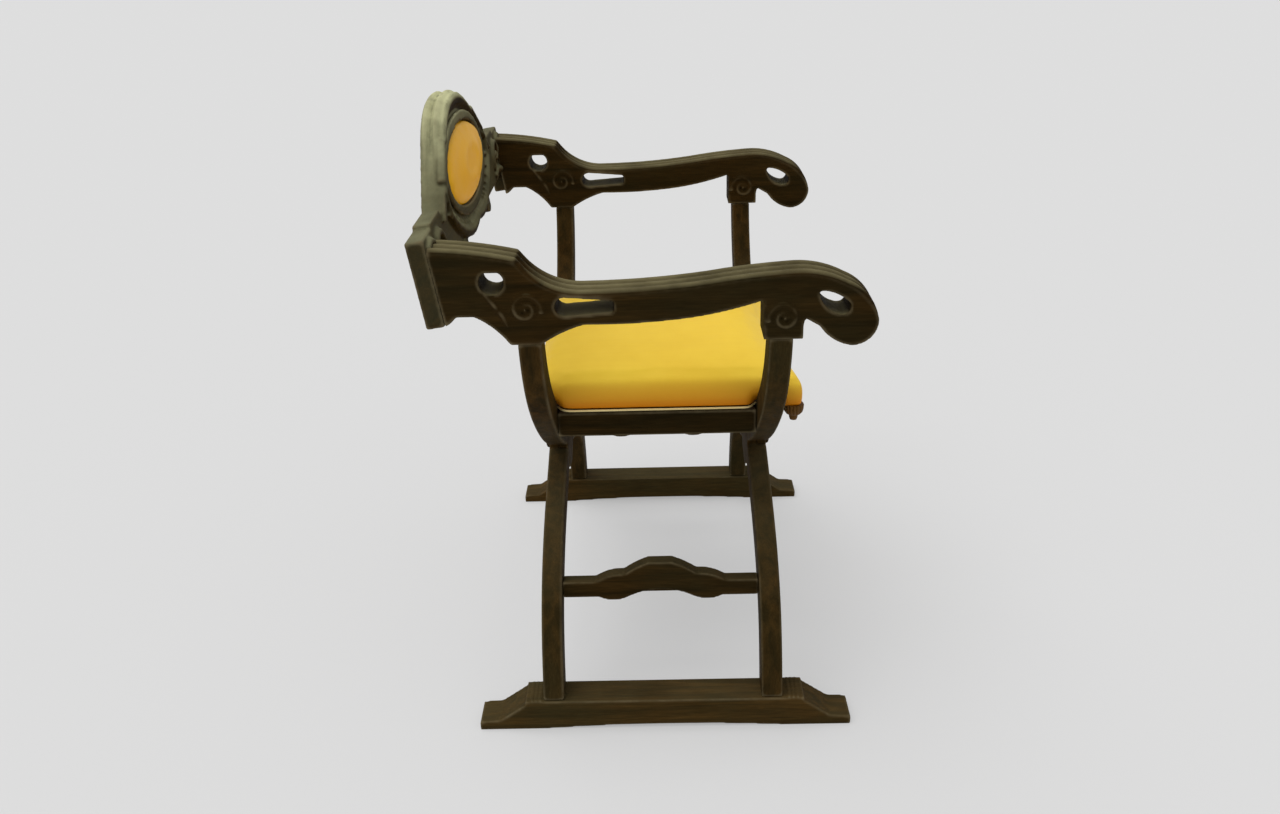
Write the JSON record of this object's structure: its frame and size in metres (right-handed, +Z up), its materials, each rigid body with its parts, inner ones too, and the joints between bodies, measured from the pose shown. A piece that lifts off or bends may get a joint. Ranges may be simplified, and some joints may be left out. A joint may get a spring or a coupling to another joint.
{
  "type": "folding armchair",
  "caption": "Folding X-frame armchair of dark carved wood with a loose yellow seat cushion and an oval padded back.",
  "frame": {"origin": "on the floor, in the middle of the chair's overall length and width", "axes": "+Z up, -Y to the front of the chair, +X to the sitter's left"},
  "size_m": [0.682, 0.5556, 0.7894],
  "materials": {
    "wood": "dark stained and waxed, worn on the edges",
    "panel": "plain dark stained",
    "iron": "dark wrought",
    "brass": "aged",
    "sling": "plain",
    "cushion": "satin silk",
    "pad": "satin silk"
  },
  "bodies": {
    "hub": {"pivot_rod": "iron", "front_rosette": "wood", "rear_rosette": "wood", "seat_sling": "sling", "seat_cushion": "cushion"},
    "right_frame": {"right_arm": "wood", "right_front_leg": "wood", "right_rear_leg": "wood", "right_seat_rail": "wood", "right_back_peg": "wood", "right_sling_tacks": "brass", "left_runner": "wood", "left_stretcher": "wood"},
    "left_frame": {"left_arm": "wood", "left_front_leg": "wood", "left_rear_leg": "wood", "left_seat_rail": "wood", "left_back_peg": "wood", "left_sling_tacks": "brass", "right_runner": "wood", "right_stretcher": "wood"},
    "backrest": {"back_board": "wood", "oval_ring": "wood", "back_panel": "panel", "panel_screws": "iron", "oval_pad": "pad"}
  },
  "joints": [
    {"name": "right_fold", "type": "hinge", "parent": "hub", "child": "right_frame", "pos_m": [0, -0.02278, 0.285], "axis": [0, 1, 0], "range_deg": [0, 34], "deforming": ["seat_sling", "seat_cushion"]},
    {"name": "left_fold", "type": "hinge", "parent": "hub", "child": "left_frame", "pos_m": [0, -0.02278, 0.285], "axis": [0, 1, 0], "range_deg": [-34, 0]},
    {"name": "back_lift", "type": "slide", "parent": "hub", "child": "backrest", "axis": [0, 0.1191, 0.9929], "range_m": [0, 0.214]}
  ],
  "couplings": [
    {"joint": "left_fold", "follows": "right_fold", "ratio": -1},
    {"joint": "back_lift", "follows": "right_fold", "m_per_rad": 0.36}
  ]
}
